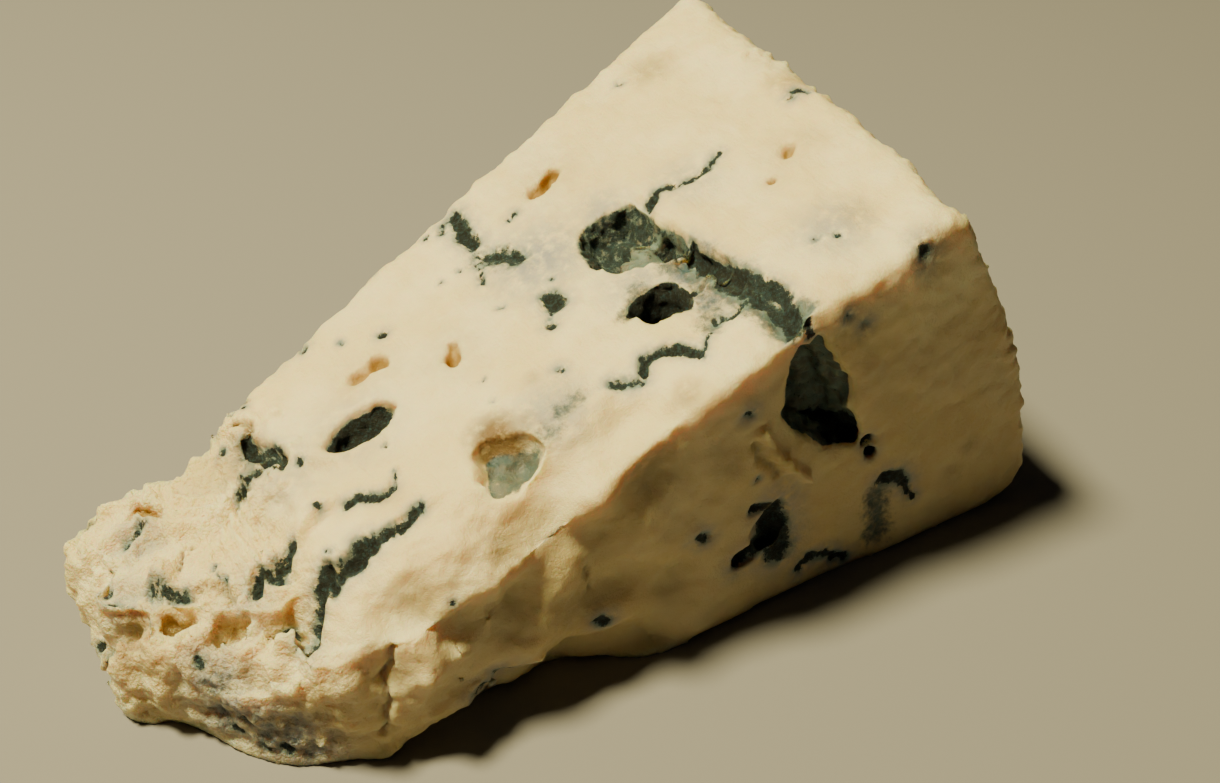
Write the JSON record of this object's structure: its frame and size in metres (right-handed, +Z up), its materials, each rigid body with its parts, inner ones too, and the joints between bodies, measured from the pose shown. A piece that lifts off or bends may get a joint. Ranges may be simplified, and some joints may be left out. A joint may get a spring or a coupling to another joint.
{
  "type": "blue cheese wedge",
  "caption": "Wedge of blue-veined cheese lying on its cut face, with a sloping cut top, a curved rim, open mould pockets and a broken, crumbling tip.",
  "frame": {"origin": "under the middle of the wedge, on the flat cut face that it lies on", "axes": "+X from the broken tip to the rim, +Y from the flat front side to the back side, +Z up from the base to the sloping top"},
  "size_m": [0.1044, 0.0598, 0.0425],
  "materials": {
    "blue_cheese": "waxy cream curd, slightly greasy, with dark blue-green mould in its pockets and veins"
  },
  "bodies": {
    "root": {"cheese_wedge": "blue_cheese"}
  },
  "joints": []
}
